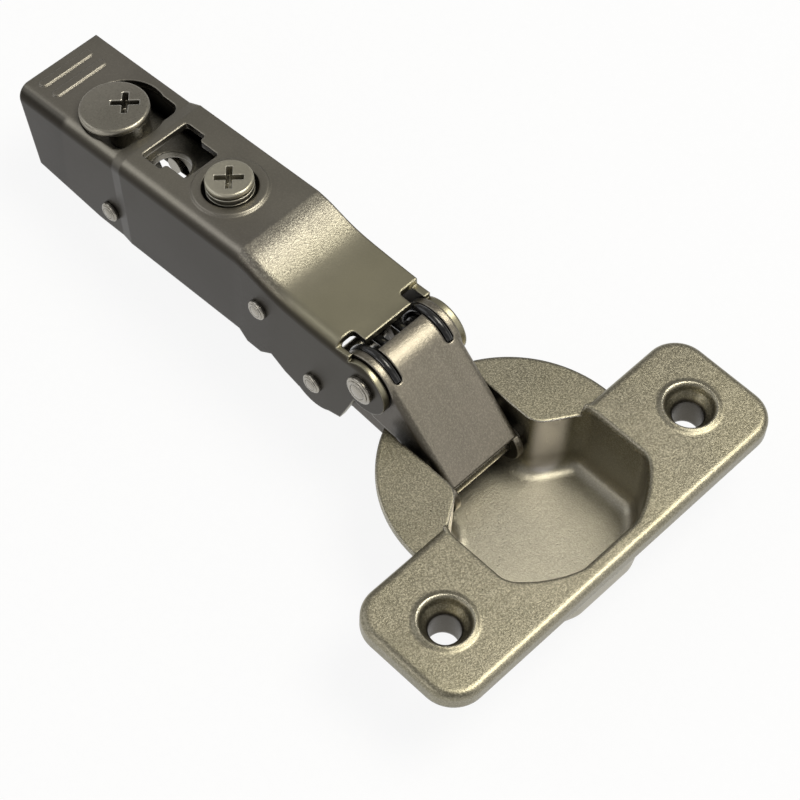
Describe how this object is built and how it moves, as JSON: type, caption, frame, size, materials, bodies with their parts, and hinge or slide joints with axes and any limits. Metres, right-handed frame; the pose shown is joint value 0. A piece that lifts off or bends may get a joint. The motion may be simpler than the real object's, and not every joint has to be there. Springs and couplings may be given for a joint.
{
  "type": "concealed cup hinge",
  "caption": "Concealed furniture hinge with a pressed cup, a four-bar linkage, a spring and a folded clip-on arm with depth and side adjusting screws.",
  "frame": {"origin": "centre of the cup on the face of the door", "axes": "+X from the cup towards the line of door screws, +Y along the screw plate, +Z out of the door; the open arm lies towards -X"},
  "size_m": [0.1065, 0.0608, 0.024],
  "materials": {
    "cup_plate": "satin nickel plate, warm",
    "arm_plate": "satin nickel plate",
    "link_plate": "satin nickel plate, fine lengthwise lines",
    "pin_steel": "turned and plated",
    "screw_steel": "polished nickel plate",
    "spring_steel": "black, oiled"
  },
  "bodies": {
    "cup": {"hinge_cup": "cup_plate", "cup_pin_outer": "pin_steel", "cup_pin_inner": "pin_steel", "cup_pin_washers": "pin_steel"},
    "outer_link": {"outer_link": "link_plate"},
    "inner_link": {"inner_link": "link_plate"},
    "arm": {"hinge_arm": "arm_plate", "arm_pin_outer": "pin_steel", "arm_pin_inner": "pin_steel", "spring_bush": "spring_steel", "torsion_spring": "spring_steel", "spring_stop_pin": "pin_steel"},
    "tilt_pin": {"tilt_pin": "pin_steel"},
    "carrier": {"mounting_carrier": "arm_plate", "hook_pin": "pin_steel", "lever_pin": "pin_steel"},
    "release_lever": {"release_lever": "arm_plate", "lever_spring": "spring_steel"},
    "cam_screw": {"cam_screw": "screw_steel", "cam_washer": "pin_steel"},
    "side_screw": {"side_screw": "screw_steel"}
  },
  "joints": [
    {"name": "hinge_fold", "type": "hinge", "parent": "cup", "child": "outer_link", "pos_m": [-0.0066, 0, -0.00552], "axis": [0, 1, 0], "range_deg": [0, 112]},
    {"name": "arm_fold", "type": "hinge", "parent": "outer_link", "child": "arm", "pos_m": [-0.02031, 0, 0.00559], "axis": [0, 1, 0], "range_deg": [-16, 0], "deforming": ["torsion_spring"]},
    {"name": "inner_fold", "type": "hinge", "parent": "cup", "child": "inner_link", "pos_m": [-0.01025, 0, -0.00325], "axis": [0, 1, 0], "range_deg": [0, 126.6]},
    {"name": "side_tilt", "type": "hinge", "parent": "arm", "child": "tilt_pin", "pos_m": [-0.06905, 0, -0.00325], "axis": [0, 1, 0], "range_deg": [-2, 2]},
    {"name": "depth_slide", "type": "slide", "parent": "tilt_pin", "child": "carrier", "axis": [0.9945, 0, 0.1045], "range_m": [-0.001, 0.001]},
    {"name": "depth_turn", "type": "hinge", "parent": "carrier", "child": "cam_screw", "pos_m": [-0.07313, 0.00035, 0.00305], "axis": [-0.1045, 0, 0.9945], "range_deg": [-41, 41]},
    {"name": "side_turn", "type": "hinge", "parent": "arm", "child": "side_screw", "pos_m": [-0.05216, 0, 0.00727], "axis": [-0.1045, 0, 0.9945], "range_deg": [-300, 300]},
    {"name": "lever_press", "type": "hinge", "parent": "carrier", "child": "release_lever", "pos_m": [-0.07684, 0, -0.00186], "axis": [0, 1, 0], "range_deg": [0, 12], "stiffness_Nm_per_rad": 0.05, "springref_deg": -11.46, "deforming": ["lever_spring"]}
  ],
  "couplings": [
    {"joint": "arm_fold", "follows": "hinge_fold", "ratio": -0.14286},
    {"joint": "inner_fold", "follows": "hinge_fold", "ratio": 1.13},
    {"joint": "side_tilt", "follows": "side_turn", "ratio": 0.0066667},
    {"joint": "depth_turn", "follows": "depth_slide", "rad_per_m": 690}
  ]
}
